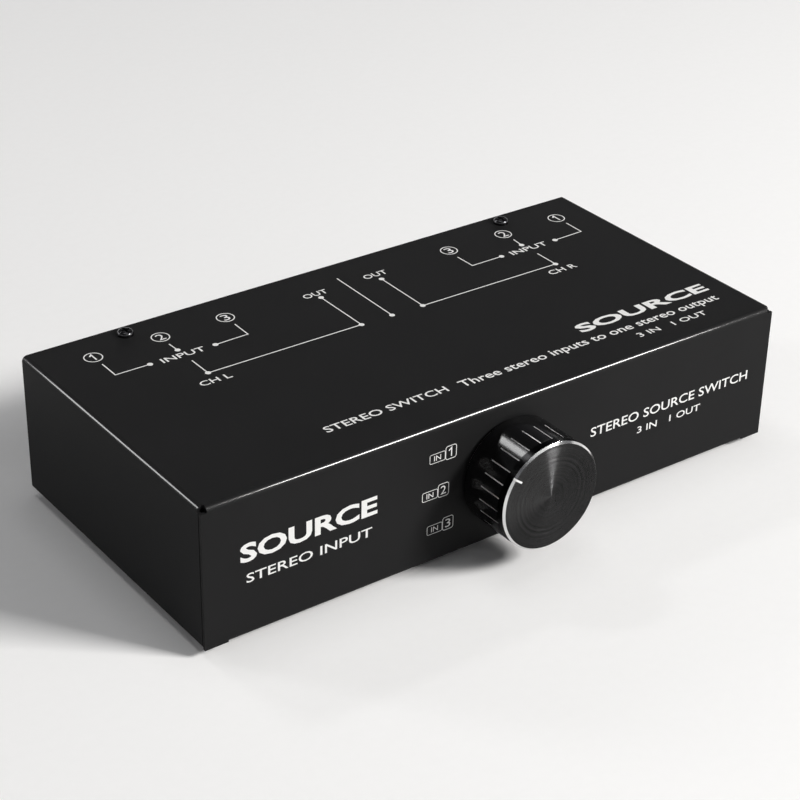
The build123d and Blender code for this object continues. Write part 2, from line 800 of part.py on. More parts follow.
# Switch body: moulded cup with the bushing, the notches of the index and a locating peg
with BuildPart() as switch_body:
    add(rod(front_plane.offset(body_face), body_radius, -body_depth))
    add(rod(front_plane.offset(body_face), bushing_radius, bushing_end - body_face))
    cavity = rod(front_plane.offset(cavity_front), body_inner_radius, body_back - cavity_front)
    add(cavity, mode=Mode.SUBTRACT)
    with BuildSketch(front_plane.offset(cavity_front)):
        with PolarLocations(body_inner_radius, index_count, start_angle=rotor_angle):
            Circle(index_notch_radius)
    extrude(amount=-rotor_gap - rotor_height / 2 - ball_radius, mode=Mode.SUBTRACT)
    with BuildSketch(front_plane.offset(body_back)):
        Circle(shaft_radius + bushing_fit)
    extrude(amount=bushing_end - body_back, mode=Mode.SUBTRACT)
    with BuildSketch(front_plane.offset(body_face)):
        Circle(stop_washer_radius + stop_washer_fit)
        Circle(bushing_radius, mode=Mode.SUBTRACT)
    extrude(amount=-stop_washer_height, mode=Mode.SUBTRACT)
    with BuildSketch(front_plane.offset(body_face - stop_washer_height)):
        with Locations((0, (bushing_radius + stop_washer_radius) / 2)):
            Circle(stop_tongue_width / 2 + stop_washer_fit)
    extrude(amount=-stop_tongue_length, mode=Mode.SUBTRACT)
    with BuildSketch(front_plane.offset(body_face)):
        with Locations((0, -peg_offset)):
            Circle(peg_radius)
    extrude(amount=peg_length)
save(switch_body, "switch_body")

# Stop washer that limits the switch to its positions
with BuildPart() as stop_washer:
    washer_back = front_plane.offset(body_face - stop_washer_height)
    add(ring(washer_back, stop_washer_radius, bushing_radius + bushing_fit, stop_washer_height))
    with BuildSketch(washer_back):
        with Locations((0, (bushing_radius + stop_washer_radius) / 2)):
            Circle(stop_tongue_width / 2)
    extrude(amount=-stop_tongue_length + stop_washer_fit)
save(stop_washer, "stop_washer")

# Toothed washer and nut that hold the switch in the front panel
with BuildPart() as lock_washer:
    with BuildSketch(front_plane):
        Circle(lock_washer_radius)
        Circle(bushing_radius + bushing_fit, mode=Mode.SUBTRACT)
        with PolarLocations(lock_washer_radius, lock_washer_teeth):
            Rectangle(lock_washer_tooth, lock_washer_tooth, mode=Mode.SUBTRACT)
    extrude(amount=lock_washer_height)
save(lock_washer, "lock_washer")

with BuildPart() as switch_nut:
    with BuildSketch(front_plane.offset(lock_washer_height)):
        RegularPolygon(nut_flats / 2, 6, major_radius=False)
        Circle(bushing_radius + bushing_fit, mode=Mode.SUBTRACT)
    extrude(amount=nut_height)
save(switch_nut, "switch_nut")

# Rotor with a ball and a spring in a hole on each side
ball_depth = rotor_front - rotor_height / 2
ball_angles = (rotor_angle, rotor_angle + 180.0)
with BuildPart() as switch_rotor:
    add(ring(front_plane.offset(rotor_front), rotor_radius, shaft_radius + rotor_fit, -rotor_height))
    for angle in ball_angles:
        hole_root = radial_plane(angle, ball_depth).offset(ball_hole_root)
        add(rod(hole_root, ball_radius + ball_hole_fit, rotor_radius), mode=Mode.SUBTRACT)
save(switch_rotor, "switch_rotor")

with BuildPart() as index_balls:
    for angle in ball_angles:
        centre = radial_plane(angle, ball_depth).offset(ball_place).origin
        with Locations(tuple(centre)):
            Sphere(ball_radius)
save(index_balls, "index_balls")

with BuildPart() as index_springs:
    spring_length = ball_place - ball_radius - ball_hole_root - 2 * spring_gap - 2 * spring_wire_radius
    coil_radius = ball_radius - spring_gap - spring_wire_radius
    for angle in ball_angles:
        foot = radial_plane(angle, ball_depth).offset(ball_hole_root + spring_gap + spring_wire_radius)
        with BuildLine() as coil:
            Helix(spring_length / spring_turns, spring_length, coil_radius, foot.origin, foot.z_dir)
        with BuildSketch(Plane(origin=coil.line @ 0, z_dir=coil.line % 0)):
            Circle(spring_wire_radius)
        sweep(path=coil.line, is_frenet=True)
save(index_springs, "index_springs")

# Wipers on the rotor's rear face, one per pole
with BuildPart() as wiper_contacts:
    with BuildSketch(front_plane.offset(rotor_back)):
        with PolarLocations((wiper_inner + wiper_outer) / 2, inner_pin_count, start_angle=rotor_angle):
            Rectangle(wiper_outer - wiper_inner, wiper_width)
    extrude(amount=-wiper_height)
save(wiper_contacts, "wiper_contacts")

# Switch base and its pins
with BuildPart() as switch_base:
    add(rod(front_plane.offset(body_back), body_radius, -base_height))
    add(rod(front_plane.offset(body_back), body_inner_radius - base_fit, base_front_face - body_back))
    with BuildSketch(front_plane.offset(base_front_face)):
        with PolarLocations(outer_pin_ring_radius, index_count, start_angle=rotor_angle):
            Circle(switch_pin_radius + contact_fit)
        with PolarLocations(inner_pin_ring_radius, inner_pin_count, start_angle=rotor_angle):
            Circle(switch_pin_radius + contact_fit)
    extrude(amount=base_back - base_front_face, mode=Mode.SUBTRACT)
save(switch_base, "switch_base")

with BuildPart() as switch_pins:
    pin_shapes = (
        (pin_head_front, switch_pin_head_radius, base_front_face),
        (base_front_face, switch_pin_radius, switch_pin_end),
        (switch_board_back, solder_radius, switch_board_back - solder_height),
    )
    for start, radius, end in pin_shapes:
        with BuildSketch(front_plane.offset(start)):
            with PolarLocations(outer_pin_ring_radius, index_count, start_angle=rotor_angle):
                Circle(radius)
            with PolarLocations(inner_pin_ring_radius, inner_pin_count, start_angle=rotor_angle):
                Circle(radius)
        extrude(amount=end - start)
save(switch_pins, "switch_pins")

# Circuit board on the switch
with BuildPart() as switch_board:
    with BuildSketch(front_plane.offset(switch_board_front)):
        Rectangle(switch_board_width, case_height - 2 * switch_board_edge)
        with PolarLocations(outer_pin_ring_radius, index_count, start_angle=rotor_angle):
            Circle(switch_pin_radius + tail_clearance, mode=Mode.SUBTRACT)
        with PolarLocations(inner_pin_ring_radius, inner_pin_count, start_angle=rotor_angle):
            Circle(switch_pin_radius + tail_clearance, mode=Mode.SUBTRACT)
    extrude(amount=-board_thickness)
save(switch_board, "switch_board")

# Headers on both boards and the flat cables between them
header_x = (header_width + header_gap) / 2
header_z = axis_z - header_drop
switch_header_y = front_y - switch_board_back
socket_header_y = socket_board_y - board_thickness
with BuildPart() as switch_headers:
    with Locations((-header_x, switch_header_y, header_z), (header_x, switch_header_y, header_z)):
        Box(header_width, header_depth, header_height, align=(Align.CENTER, Align.MIN, Align.CENTER))
save(switch_headers, "switch_headers")

with BuildPart() as socket_headers:
    with Locations((-header_x, socket_header_y, header_z), (header_x, socket_header_y, header_z)):
        Box(header_width, header_depth, header_height, align=(Align.CENTER, Align.MAX, Align.CENTER))
save(socket_headers, "socket_headers")

cable_start = switch_header_y + header_depth
cable_end = socket_header_y - header_depth
cable_low = base_z + sheet + cable_floor_gap + cable_thickness / 2
cable_sag = header_z - cable_low
cable_route = [
    (cable_start, header_z),
    (cable_start + cable_lead, header_z),
    (cable_start + cable_lead + cable_sag, cable_low),
    (cable_end - cable_lead - cable_sag, cable_low),
    (cable_end - cable_lead, header_z),
    (cable_end, header_z),
]
for channel, side in (("left", -1), ("right", 1)):
    with BuildPart() as flat_cable:
        with BuildSketch(Plane.YZ.offset(side * header_x)):
            with BuildLine():
                FilletPolyline(*cable_route, radius=cable_bend)
            trace(line_width=cable_thickness)
        extrude(amount=cable_width / 2, both=True)
    save(flat_cable, f"{channel}_flat_cable")
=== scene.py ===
import math

import bmesh
import bpy
from mathutils import Matrix, Vector


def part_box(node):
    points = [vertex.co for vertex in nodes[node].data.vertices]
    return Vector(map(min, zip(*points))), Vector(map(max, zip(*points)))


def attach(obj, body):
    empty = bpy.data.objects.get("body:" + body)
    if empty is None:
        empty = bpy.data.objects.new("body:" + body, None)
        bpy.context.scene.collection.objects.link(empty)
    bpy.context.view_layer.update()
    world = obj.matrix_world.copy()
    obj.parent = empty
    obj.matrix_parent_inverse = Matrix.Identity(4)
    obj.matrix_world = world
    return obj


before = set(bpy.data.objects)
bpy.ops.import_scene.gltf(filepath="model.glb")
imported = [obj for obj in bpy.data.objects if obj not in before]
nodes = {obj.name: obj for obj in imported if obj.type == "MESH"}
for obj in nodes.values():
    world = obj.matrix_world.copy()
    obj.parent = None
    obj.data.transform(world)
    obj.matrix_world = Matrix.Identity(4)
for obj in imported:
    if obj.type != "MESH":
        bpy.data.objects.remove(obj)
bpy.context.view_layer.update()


# Case: a lid and a tray folded from 1.2 mm sheet steel and screwed together.
# Both are sprayed with black powder, which cures with a fine pebbled skin.
# Handling has burnished the crowns of the lid's folds, so they shine more than its panels.
class Value:
    """A socket of a shader tree. Sums of values add their own Math nodes."""

    def __init__(self, socket):
        self.socket = socket

    def node(self, kind, settings, inputs, output=0):
        """Any node: its settings come first, then the values or links of its sockets."""
        made = self.socket.id_data.nodes.new(kind)
        for name, setting in settings.items():
            setattr(made, name, setting)
        for name, given in inputs.items():
            if isinstance(given, Value):
                self.socket.id_data.links.new(given.socket, made.inputs[name])
            else:
                made.inputs[name].default_value = given
        return Value(made.outputs[output])

    def math(self, operation, first, second=0.0):
        return self.node("ShaderNodeMath", {"operation": operation}, {0: first, 1: second})

    def __add__(self, other):
        return self.math("ADD", self, other)

    def __sub__(self, other):
        return self.math("SUBTRACT", self, other)

    def __mul__(self, other):
        return self.math("MULTIPLY", self, other)

    def __truediv__(self, other):
        return self.math("DIVIDE", self, other)

    def __radd__(self, other):
        return self.math("ADD", other, self)

    def __rsub__(self, other):
        return self.math("SUBTRACT", other, self)

    def __rmul__(self, other):
        return self.math("MULTIPLY", other, self)

    def above(self, other):
        """1 where the value is greater, else 0."""
        return self.math("GREATER_THAN", self, other)

    def fade(self, full, gone):
        """1 up to one value, falling to 0 at another."""
        return self.node("ShaderNodeMapRange", {}, {
            "Value": self, "From Min": full, "From Max": gone, "To Min": 1.0, "To Max": 0.0,
        })

    def along(self, axis):
        """X, Y or Z of a place."""
        return self.node("ShaderNodeSeparateXYZ", {}, {0: self}, axis)

    def off_axis(self, height):
        """Distance of a place from a line that runs front to back at a height."""
        flat = self.node("ShaderNodeVectorMath", {"operation": "MULTIPLY_ADD"}, {
            0: self, 1: (1, 0, 1), 2: (0, 0, -height),
        })
        return self.node("ShaderNodeVectorMath", {"operation": "LENGTH"}, {0: flat}, "Value")

    def grain(self, size, detail, roughness=0.5):
        """Mottle of a size in metres, all through a place."""
        return self.node("ShaderNodeTexNoise", {}, {
            "Vector": self, "Scale": 1 / size, "Detail": detail, "Roughness": roughness,
        })

    def streaks(self, size, detail):
        """Mottle along a single value, such as a distance."""
        return self.node("ShaderNodeTexNoise", {"noise_dimensions": "1D"}, {
            "W": self, "Scale": 1 / size, "Detail": detail,
        })

    def blend(self, dark, light):
        return self.node("ShaderNodeMix", {"data_type": "RGBA"}, {0: self, 6: dark, 7: light}, 2)

    def relief(self, height, depth, strength=1.0):
        return self.node("ShaderNodeBump", {}, {
            "Height": height, "Distance": depth, "Strength": strength,
        })


def finish(name):
    """A new finish: its material, its place in metres, and a call that feeds the shader's sockets."""
    material = bpy.data.materials.new(name)
    material.use_nodes = True
    shader = material.node_tree.nodes["Principled BSDF"]
    place = material.node_tree.nodes.new("ShaderNodeTexCoord").outputs["Object"]

    def feed(**inputs):
        for socket_name, given in inputs.items():
            socket = shader.inputs[socket_name.replace("_", " ")]
            if isinstance(given, Value):
                material.node_tree.links.new(given.socket, socket)
            else:
                socket.default_value = given

    return material, Value(place), feed


def wear(material, *names):
    """Gives CAD nodes a finish."""
    for name in names:
        nodes[name].data.materials.clear()
        nodes[name].data.materials.append(material)


fold_radius = 0.002
crown_full = 0.42
crown_gone = 0.70
pebble_size = 0.00045
pebble_depth = 0.00002
cloud_size = 0.03
powder_deep = (0.0095, 0.0095, 0.0098, 1)
powder_thin = (0.0135, 0.0135, 0.0140, 1)
lid_low, lid_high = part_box("top_cover")

case_black, place, feed = finish("case_powder_black")
pebbles = place.grain(pebble_size, 2.0)
clouds = place.grain(cloud_size, 3.0)
from_top = lid_high.z - place.along("Z")
from_front = place.along("Y") - lid_low.y
from_sides = place.math("MINIMUM", place.along("X") - lid_low.x, lid_high.x - place.along("X"))
from_panel = place.math("MINIMUM", from_front, from_sides)
off_crown = place.math("MAXIMUM", from_top, from_panel) / fold_radius
burnish = off_crown.fade(crown_full, crown_gone)
feed(
    Base_Color=clouds.blend(powder_deep, powder_thin),
    Roughness=0.50 + 0.06 * clouds + 0.06 * pebbles,
    Specular_IOR_Level=0.10,
    Coat_Weight=0.8 * burnish,
    Coat_Roughness=0.08,
    Normal=place.relief(pebbles, pebble_depth, 0.3),
)
wear(case_black, "top_cover", "base_tray")


# Screws: pan heads of steel with a cross recess, chemically blacked.
# Two hold the lid to the tray at the rear of the top, others go in from below and through the sockets.
oxide_size = 0.0008
oxide_depth = 0.00001
oxide_deep = (0.05, 0.05, 0.053, 1)
oxide_thin = (0.11, 0.11, 0.115, 1)

screw_black, place, feed = finish("screw_blacked")
oxide = place.grain(oxide_size, 3.0)
feed(
    Base_Color=oxide.blend(oxide_deep, oxide_thin),
    Metallic=1.0,
    Roughness=0.16 + 0.12 * oxide,
    Normal=place.relief(oxide, oxide_depth, 0.4),
)
wear(screw_black, "cover_screws", "base_screws", "socket_screws")


# Feet: four round discs of moulded rubber under the tray.
# The rubber is dull, with a dusty bloom.
bloom_size = 0.002
bloom_depth = 0.00004
rubber_dark = (0.014, 0.014, 0.014, 1)
rubber_dusty = (0.032, 0.031, 0.03, 1)

rubber, place, feed = finish("foot_rubber")
bloom = place.grain(bloom_size, 4.0, 0.6)
feed(
    Base_Color=bloom.blend(rubber_dark, rubber_dusty),
    Roughness=0.7 + 0.2 * bloom,
    Normal=place.relief(bloom, bloom_depth, 0.5),
)
wear(rubber, "rubber_feet")


# Sockets: die-cast flanged shells, plated with satin nickel, in a row along the rear panel.
# Each holds a moulded black insert with three gold-plated contacts or pins.
inputs = [f"{side}_input_{number}" for side in ("left", "right") for number in (1, 2, 3)]
outputs = ["left_output", "right_output"]
cast_size = 0.0009
cast_depth = 0.000012
stain_size = 0.012
nickel_stained = (0.5, 0.48, 0.45, 1)
nickel_clean = (0.66, 0.64, 0.6, 1)
insert_grain = 0.0003
insert_depth = 0.000015
insert_dark = (0.012, 0.012, 0.012, 1)
insert_light = (0.024, 0.024, 0.024, 1)
plate_size = 0.0012
gold_deep = (0.72, 0.5, 0.19, 1)
gold_pale = (0.9, 0.68, 0.3, 1)

nickel, place, feed = finish("shell_nickel")
cast = place.grain(cast_size, 3.0)
stain = place.grain(stain_size, 3.0)
feed(
    Base_Color=stain.blend(nickel_stained, nickel_clean),
    Metallic=1.0,
    Roughness=0.24 + 0.14 * cast,
    Normal=place.relief(cast, cast_depth, 0.5),
)
wear(nickel, *(f"{socket}_shell" for socket in inputs + outputs))

insert_black, place, feed = finish("insert_moulded")
spark = place.grain(insert_grain, 2.0)
feed(
    Base_Color=spark.blend(insert_dark, insert_light),
    Roughness=0.42 + 0.16 * spark,
    Normal=place.relief(spark, insert_depth, 0.5),
)
wear(insert_black, *(f"{socket}_insert" for socket in inputs + outputs))

gold, place, feed = finish("contact_gold")
plate = place.grain(plate_size, 3.0)
feed(
    Base_Color=plate.blend(gold_deep, gold_pale),
    Metallic=1.0,
    Roughness=0.16 + 0.14 * plate,
)
wear(gold, *(f"{socket}_contacts" for socket in inputs))
wear(gold, *(f"{socket}_pins" for socket in outputs))


# Latches: moulded push tabs above the input sockets.
# Pressed, they let a plug go.
latch_grain = 0.0004
latch_depth = 0.00001
latch_dark = (0.03, 0.03, 0.032, 1)
latch_light = (0.05, 0.05, 0.052, 1)

latch_grey, place, feed = finish("latch_moulded")
mould = place.grain(latch_grain, 2.0)
feed(
    Base_Color=mould.blend(latch_dark, latch_light),
    Roughness=0.38 + 0.18 * mould,
    Normal=place.relief(mould, latch_depth, 0.5),
)
wear(latch_grey, *(f"{socket}_latch" for socket in inputs))


# Boards and wiring inside the case: fibreglass boards under green lacquer, with nylon headers.
# Two flat cables of grey ribbed vinyl run from the one board to the other.
weave_size = 0.0016
lacquer_dark = (0.012, 0.085, 0.035, 1)
lacquer_light = (0.02, 0.12, 0.05, 1)
nylon_grain = 0.001
nylon_dark = (0.62, 0.6, 0.54, 1)
nylon_light = (0.74, 0.72, 0.66, 1)
rib_pitch = 0.00127
rib_depth = 0.0001
vinyl_dark = (0.2, 0.2, 0.21, 1)
vinyl_light = (0.34, 0.34, 0.35, 1)

board_green, place, feed = finish("board_lacquer")
weave = place.grain(weave_size, 2.0)
feed(
    Base_Color=weave.blend(lacquer_dark, lacquer_light),
    Roughness=0.3 + 0.15 * weave,
    Coat_Weight=0.3,
)
wear(board_green, "socket_board", "switch_board")

header_white, place, feed = finish("header_nylon")
flow = place.grain(nylon_grain, 2.0)
feed(
    Base_Color=flow.blend(nylon_dark, nylon_light),
    Roughness=0.45 + 0.15 * flow,
)
wear(header_white, "switch_headers", "socket_headers")

ribbon, place, feed = finish("cable_vinyl")
ribs = place.math("SINE", place.along("X") * (2 * math.pi / rib_pitch))
feed(
    Base_Color=(0.5 + 0.5 * ribs).blend(vinyl_dark, vinyl_light),
    Roughness=0.55 + 0.08 * ribs,
    Normal=place.relief(ribs, rib_depth, 0.6),
)
wear(ribbon, "left_flat_cable", "right_flat_cable")


# Rotary switch behind the front panel: moulded body, base and rotor, with wipers and pins of tinned bronze.
# Its shaft, index, washers and nut are bright steel, as are the nuts of the sockets.
moulding_grain = 0.0006
moulding_depth = 0.00001
moulding_dark = (0.02, 0.02, 0.022, 1)
moulding_light = (0.038, 0.038, 0.04, 1)
turning_size = 0.0007
steel_dark = (0.42, 0.42, 0.42, 1)
steel_light = (0.6, 0.6, 0.59, 1)
tin_grain = 0.0005
tin_dark = (0.5, 0.5, 0.48, 1)
tin_light = (0.68, 0.68, 0.66, 1)

switch_black, place, feed = finish("switch_moulded")
flow = place.grain(moulding_grain, 2.0)
feed(
    Base_Color=flow.blend(moulding_dark, moulding_light),
    Roughness=0.4 + 0.2 * flow,
    Normal=place.relief(flow, moulding_depth, 0.5),
)
wear(switch_black, "switch_body", "switch_base", "switch_rotor")

steel, place, feed = finish("steel_bright")
turned = place.grain(turning_size, 3.0)
feed(
    Base_Color=turned.blend(steel_dark, steel_light),
    Metallic=1.0,
    Roughness=0.2 + 0.2 * turned,
)
wear(steel, "switch_shaft", "shaft_clip", "stop_washer", "lock_washer", "switch_nut")
wear(steel, "index_balls", "index_springs", "knob_set_screw", "socket_nuts")

tin, place, feed = finish("contact_tin")
dull = place.grain(tin_grain, 3.0)
feed(
    Base_Color=dull.blend(tin_dark, tin_light),
    Metallic=1.0,
    Roughness=0.26 + 0.2 * dull,
)
wear(tin, "wiper_contacts", "switch_pins")


# Knob barrel: turned aluminium, dyed black and sealed to a gloss.
# The flutes are cut after dyeing, so their walls are bare metal.
dyed_skin = 0.00007
lathe_size = 0.0006
dyed_black = (0.004, 0.004, 0.0043, 1)
bare_metal = (0.9, 0.9, 0.9, 1)
barrel_low, barrel_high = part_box("knob_body")
barrel_radius = (barrel_high.x - barrel_low.x) / 2
axis_z = (barrel_low.z + barrel_high.z) / 2

barrel_black, place, feed = finish("barrel_black")
lathe = place.grain(lathe_size, 2.0)
bare = 1 - place.off_axis(axis_z).above(barrel_radius - dyed_skin)
feed(
    Base_Color=bare.blend(dyed_black, bare_metal),
    Metallic=bare,
    Roughness=0.13 + 0.05 * lathe + 0.3 * bare,
    Specular_IOR_Level=0.5,
)
wear(barrel_black, "knob_body")


# Knob cap: black aluminium, its face turned in fine rings that differ a little in depth and dye.
# Its rim is cut at an angle after dyeing and left bright.
rim_cut = 0.0007
ring_pitch = 0.00035
ring_depth = 0.00009
long_flank = 0.68
chatter_pitch = 1 / 1800
dye_pitch = 1 / 1100
face_deep = (0.001, 0.001, 0.0011, 1)
face_pale = (0.030, 0.030, 0.0308, 1)
rim_metal = (0.75, 0.75, 0.75, 1)
cap_low, cap_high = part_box("knob_cap")
cap_radius = (cap_high.x - cap_low.x) / 2

cap_black, place, feed = finish("cap_turned")
reach = place.off_axis(axis_z)
bright = reach.above(cap_radius - rim_cut) * (1 - place.along("Y").above(cap_low.y + rim_cut))
turn_of_tool = place.math("FRACT", reach / ring_pitch)
ridge = place.math("MINIMUM", turn_of_tool / long_flank, (1 - turn_of_tool) / (1 - long_flank))
chatter = reach.streaks(chatter_pitch, 2.0)
dye = reach.streaks(dye_pitch, 1.0)
feed(
    Base_Color=bright.blend(dye.blend(face_deep, face_pale), rim_metal),
    Metallic=1.0,
    Roughness=0.21 - 0.07 * bright,
    Normal=place.relief(ridge * (0.75 + 0.5 * chatter) * (1 - bright), ring_depth),
)
wear(cap_black, "knob_cap")


# Pointer: white enamel pressed into a groove in the cap's rim.
# The same white is printed on the case.
chalk_size = 0.0006
enamel_soft = (0.8, 0.8, 0.79, 1)
enamel_clear = (0.9, 0.9, 0.89, 1)

enamel, place, feed = finish("white_enamel")
chalk = place.grain(chalk_size, 3.0)
feed(
    Base_Color=chalk.blend(enamel_soft, enamel_clear),
    Roughness=0.4 + 0.15 * chalk,
)
wear(enamel, "knob_pointer")


# Print on the top: the signal diagram and plain wording, screen printed in white ink.
# Each stroke is a thin film on the powder coat. The diagram runs from the inputs to the outputs,
# and each of its lines has a dot on its last point or on its last three.
film_sunk = 0.00001
film_proud = 0.00002
weld = 0.000001
line_width = 0.00045
ring_outer = 0.0034
ring_inner = 0.0030
ring_figure = 0.0041
dot_radius = 0.00105
dot_sides = 20
dot_lift = 0.000004
plain_weight = 0.008
bold_weight = 0.03
input_rings = (
    ("1", (-0.1002, 0.05425)), ("2", (-0.0739, 0.05425)), ("3", (-0.0475, 0.05425)),
    ("3", (0.0512, 0.0539)), ("2", (0.0773, 0.0539)), ("1", (0.1037, 0.0539)),
)
dotted_lines = (
    (1, ((-0.1000, 0.0484), (-0.1000, 0.0393), (-0.0867, 0.0392))),
    (1, ((-0.0740, 0.0482), (-0.0738, 0.0428))),
    (1, ((-0.0474, 0.0481), (-0.0476, 0.0392), (-0.0610, 0.0389))),
    (3, ((-0.0736, 0.0336), (-0.0736, 0.0231), (-0.01075, 0.0229), (-0.01075, 0.0483))),
    (1, ((0.0505, 0.0476), (0.0507, 0.0387), (0.0646, 0.0388))),
    (1, ((0.0776, 0.0479), (0.0771, 0.04235))),
    (1, ((0.1041, 0.0482), (0.1039, 0.0391), (0.0905, 0.0387))),
    (3, ((0.0774, 0.0332), (0.0773, 0.0224), (0.0159, 0.0227), (0.0161, 0.0484))),
    (1, ((0.0027, 0.0578), (0.0024, 0.0228))),
)
top_words = (
    ("OUT", (-0.0110, 0.05185), 0.0100, 0.0031, plain_weight),
    ("OUT", (0.0162, 0.0528), 0.0100, 0.0031, plain_weight),
    ("INPUT", (-0.0739, 0.0389), 0.0170, 0.0031, plain_weight),
    ("INPUT", (0.0775, 0.0387), 0.0170, 0.0031, plain_weight),
    ("CH L", (-0.0740, 0.0177), 0.0120, 0.0031, plain_weight),
    ("CH R", (0.0766, 0.0177), 0.0125, 0.0031, plain_weight),
    ("STEREO SWITCH", (-0.0381, -0.0305), 0.0490, 0.0036, plain_weight),
    ("Three stereo inputs to one stereo output", (0.0501, -0.0310), 0.1168, 0.0040, plain_weight),
    ("SOURCE", (0.0803, -0.0226), 0.0606, 0.0056, bold_weight),
    ("3 IN   1 OUT", (0.0808, -0.0380), 0.0320, 0.0028, plain_weight),
)


def prism(ink, loops, lift=0.0):
    """A closed film between an outline and, where it has one, an inner outline."""
    layers = []
    for height in (-film_sunk, film_proud + lift):
        layers.append([[ink.verts.new((u, v, height)) for u, v in loop] for loop in loops])
    for ring, (low, high) in enumerate(zip(*layers)):
        for i in range(len(low)):
            j = (i + 1) % len(low)
            side = (low[i], low[j], high[j], high[i])
            ink.faces.new(side if ring == 0 else side[::-1])
    if len(loops) == 1:
        ink.faces.new(layers[1][0])
        ink.faces.new(layers[0][0][::-1])
    else:
        for layer, turn in ((layers[1], 1), (layers[0], -1)):
            outer, inner = layer
            for i in range(len(outer)):
                j = (i + 1) % len(outer)
                ink.faces.new((outer[i], outer[j], inner[j], inner[i])[::turn])


def round_loop(centre, radius, sides=32):
    """Points of a circle."""
    turns = [2 * math.pi * i / sides for i in range(sides)]
    return [(centre[0] + radius * math.cos(t), centre[1] + radius * math.sin(t)) for t in turns]


def line(ink, *places, width=line_width):
    """A stroke of even width from place to place, mitred at its corners."""
    runs = [(Vector(end) - Vector(start)).normalized() for start, end in zip(places, places[1:])]
    left, right = [], []
    for place, before, after in zip(places, runs[:1] + runs, runs + runs[-1:]):
        aside = Vector((-before.y - after.y, before.x + after.x)) / (1 + before.dot(after)) * width / 2
        left.append(Vector(place) + aside)
        right.append(Vector(place) - aside)
    prism(ink, [right + left[::-1]])


def word(ink, letters, centre, width, height, weight=0.0):
    """A word of the plain built-in face, stretched to its printed width and cap height."""
    outline = bpy.data.curves.new("word", "FONT")
    outline.body = letters
    outline.resolution_u = 3
    outline.offset = weight
    outline.extrude = 0.1
    carrier = bpy.data.objects.new("word", outline)
    bpy.context.scene.collection.objects.link(carrier)
    bpy.context.view_layer.update()
    drawn = carrier.evaluated_get(bpy.context.evaluated_depsgraph_get())
    shape = bpy.data.meshes.new_from_object(drawn)
    bpy.data.objects.remove(carrier)
    xs = [v.co.x for v in shape.vertices]
    middle = (min(xs) + max(xs)) / 2
    stretch = width / (max(xs) - min(xs))
    rise = height / max(v.co.y for v in shape.vertices)
    for v in shape.vertices:
        across = centre[0] + (v.co.x - middle) * stretch
        up = centre[1] + v.co.y * rise - height / 2
        v.co = (across, up, film_proud if v.co.z > 0 else -film_sunk)
    ink.from_mesh(shape)
    bpy.data.meshes.remove(shape)


def figure(ink, number, centre, height):
    """A figure in a frame: 1 is drawn with two strokes, so that it doesn't read as a bar."""
    stem_shift = 0.0002
    flag_reach = 0.0009
    flag_share = 0.22
    stroke_share = 0.14
    width_share = 0.68
    x, y = centre
    if number == "1":
        foot = (x + stem_shift, y - height / 2)
        head = (x + stem_shift, y + height / 2)
        flag = (x - flag_reach, y + flag_share * height)
        line(ink, flag, head, foot, width=stroke_share * height)
    else:
        word(ink, number, centre, width_share * height, height)


def printed(ink, name, across, up, out, origin):
    """Lays a film of ink on a panel of the case."""
    bmesh.ops.remove_doubles(ink, verts=ink.verts, dist=weld)
    bmesh.ops.recalc_face_normals(ink, faces=ink.faces)
    panel = Matrix((
        (across[0], up[0], out[0], origin[0]),
        (across[1], up[1], out[1], origin[1]),
        (across[2], up[2], out[2], origin[2]),
        (0, 0, 0, 1),
    ))
    bmesh.ops.transform(ink, matrix=panel, verts=ink.verts)
    mesh = bpy.data.meshes.new(name)
    ink.to_mesh(mesh)
    ink.free()
    piece = bpy.data.objects.new(name, mesh)
    bpy.context.scene.collection.objects.link(piece)
    mesh.materials.append(enamel)
    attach(piece, "case")


ink = bmesh.new()
for number, centre in input_rings:
    prism(ink, [round_loop(centre, ring_outer), round_loop(centre, ring_inner)])
    figure(ink, number, centre, ring_figure)
for dots, places in dotted_lines:
    line(ink, *places)
for dots, places in dotted_lines:
    for centre in places[-dots:]:
        prism(ink, [round_loop(centre, dot_radius, dot_sides)], dot_lift)
for lettering in top_words:
    word(ink, *lettering)
printed(ink, "top_legend", (1, 0, 0), (0, 1, 0), (0, 0, 1), (0, 0, lid_high.z))


# Print on the front: the knob's three places, each a tag with its number, and plain wording.
# It is the same white ink as on the top, screen printed on the powder coat.
knob_places = (("1", -0.0280, 0.0437), ("2", -0.0307, 0.0300), ("3", -0.0284, 0.01625))
tag_shift = (-0.0024, -0.0004)
tag_outer = (0.0064, 0.0036, 0.0007)
tag_inner = (0.0060, 0.0032, 0.0005)
tag_word = (0.0028, 0.0019)
window_shift = 0.0031
window_outer = (0.0046, 0.0052, 0.0010)
window_inner = (0.0041, 0.0047, 0.00075)
window_figure = 0.0032
light_weight = 0.006
front_words = (
    ("SOURCE", (-0.08035, 0.0341), 0.0521, 0.0066, bold_weight),
    ("STEREO INPUT", (-0.0803, 0.02435), 0.0480, 0.0034, light_weight),
    ("STEREO SOURCE SWITCH", (0.0733, 0.03065), 0.0746, 0.0036, plain_weight),
    ("3 IN   1 OUT", (0.0730, 0.0244), 0.0300, 0.0026, plain_weight),
)


def box_loop(centre, width, height, corner, steps=4):
    """Points of a rectangle with rounded corners."""
    points = []
    for quarter, (side, rise) in enumerate(((1, 1), (-1, 1), (-1, -1), (1, -1))):
        for step in range(steps + 1):
            turn = math.radians(90 * quarter + 90 / steps * step)
            points.append((
                centre[0] + side * (width / 2 - corner) + corner * math.cos(turn),
                centre[1] + rise * (height / 2 - corner) + corner * math.sin(turn),
            ))
    return points


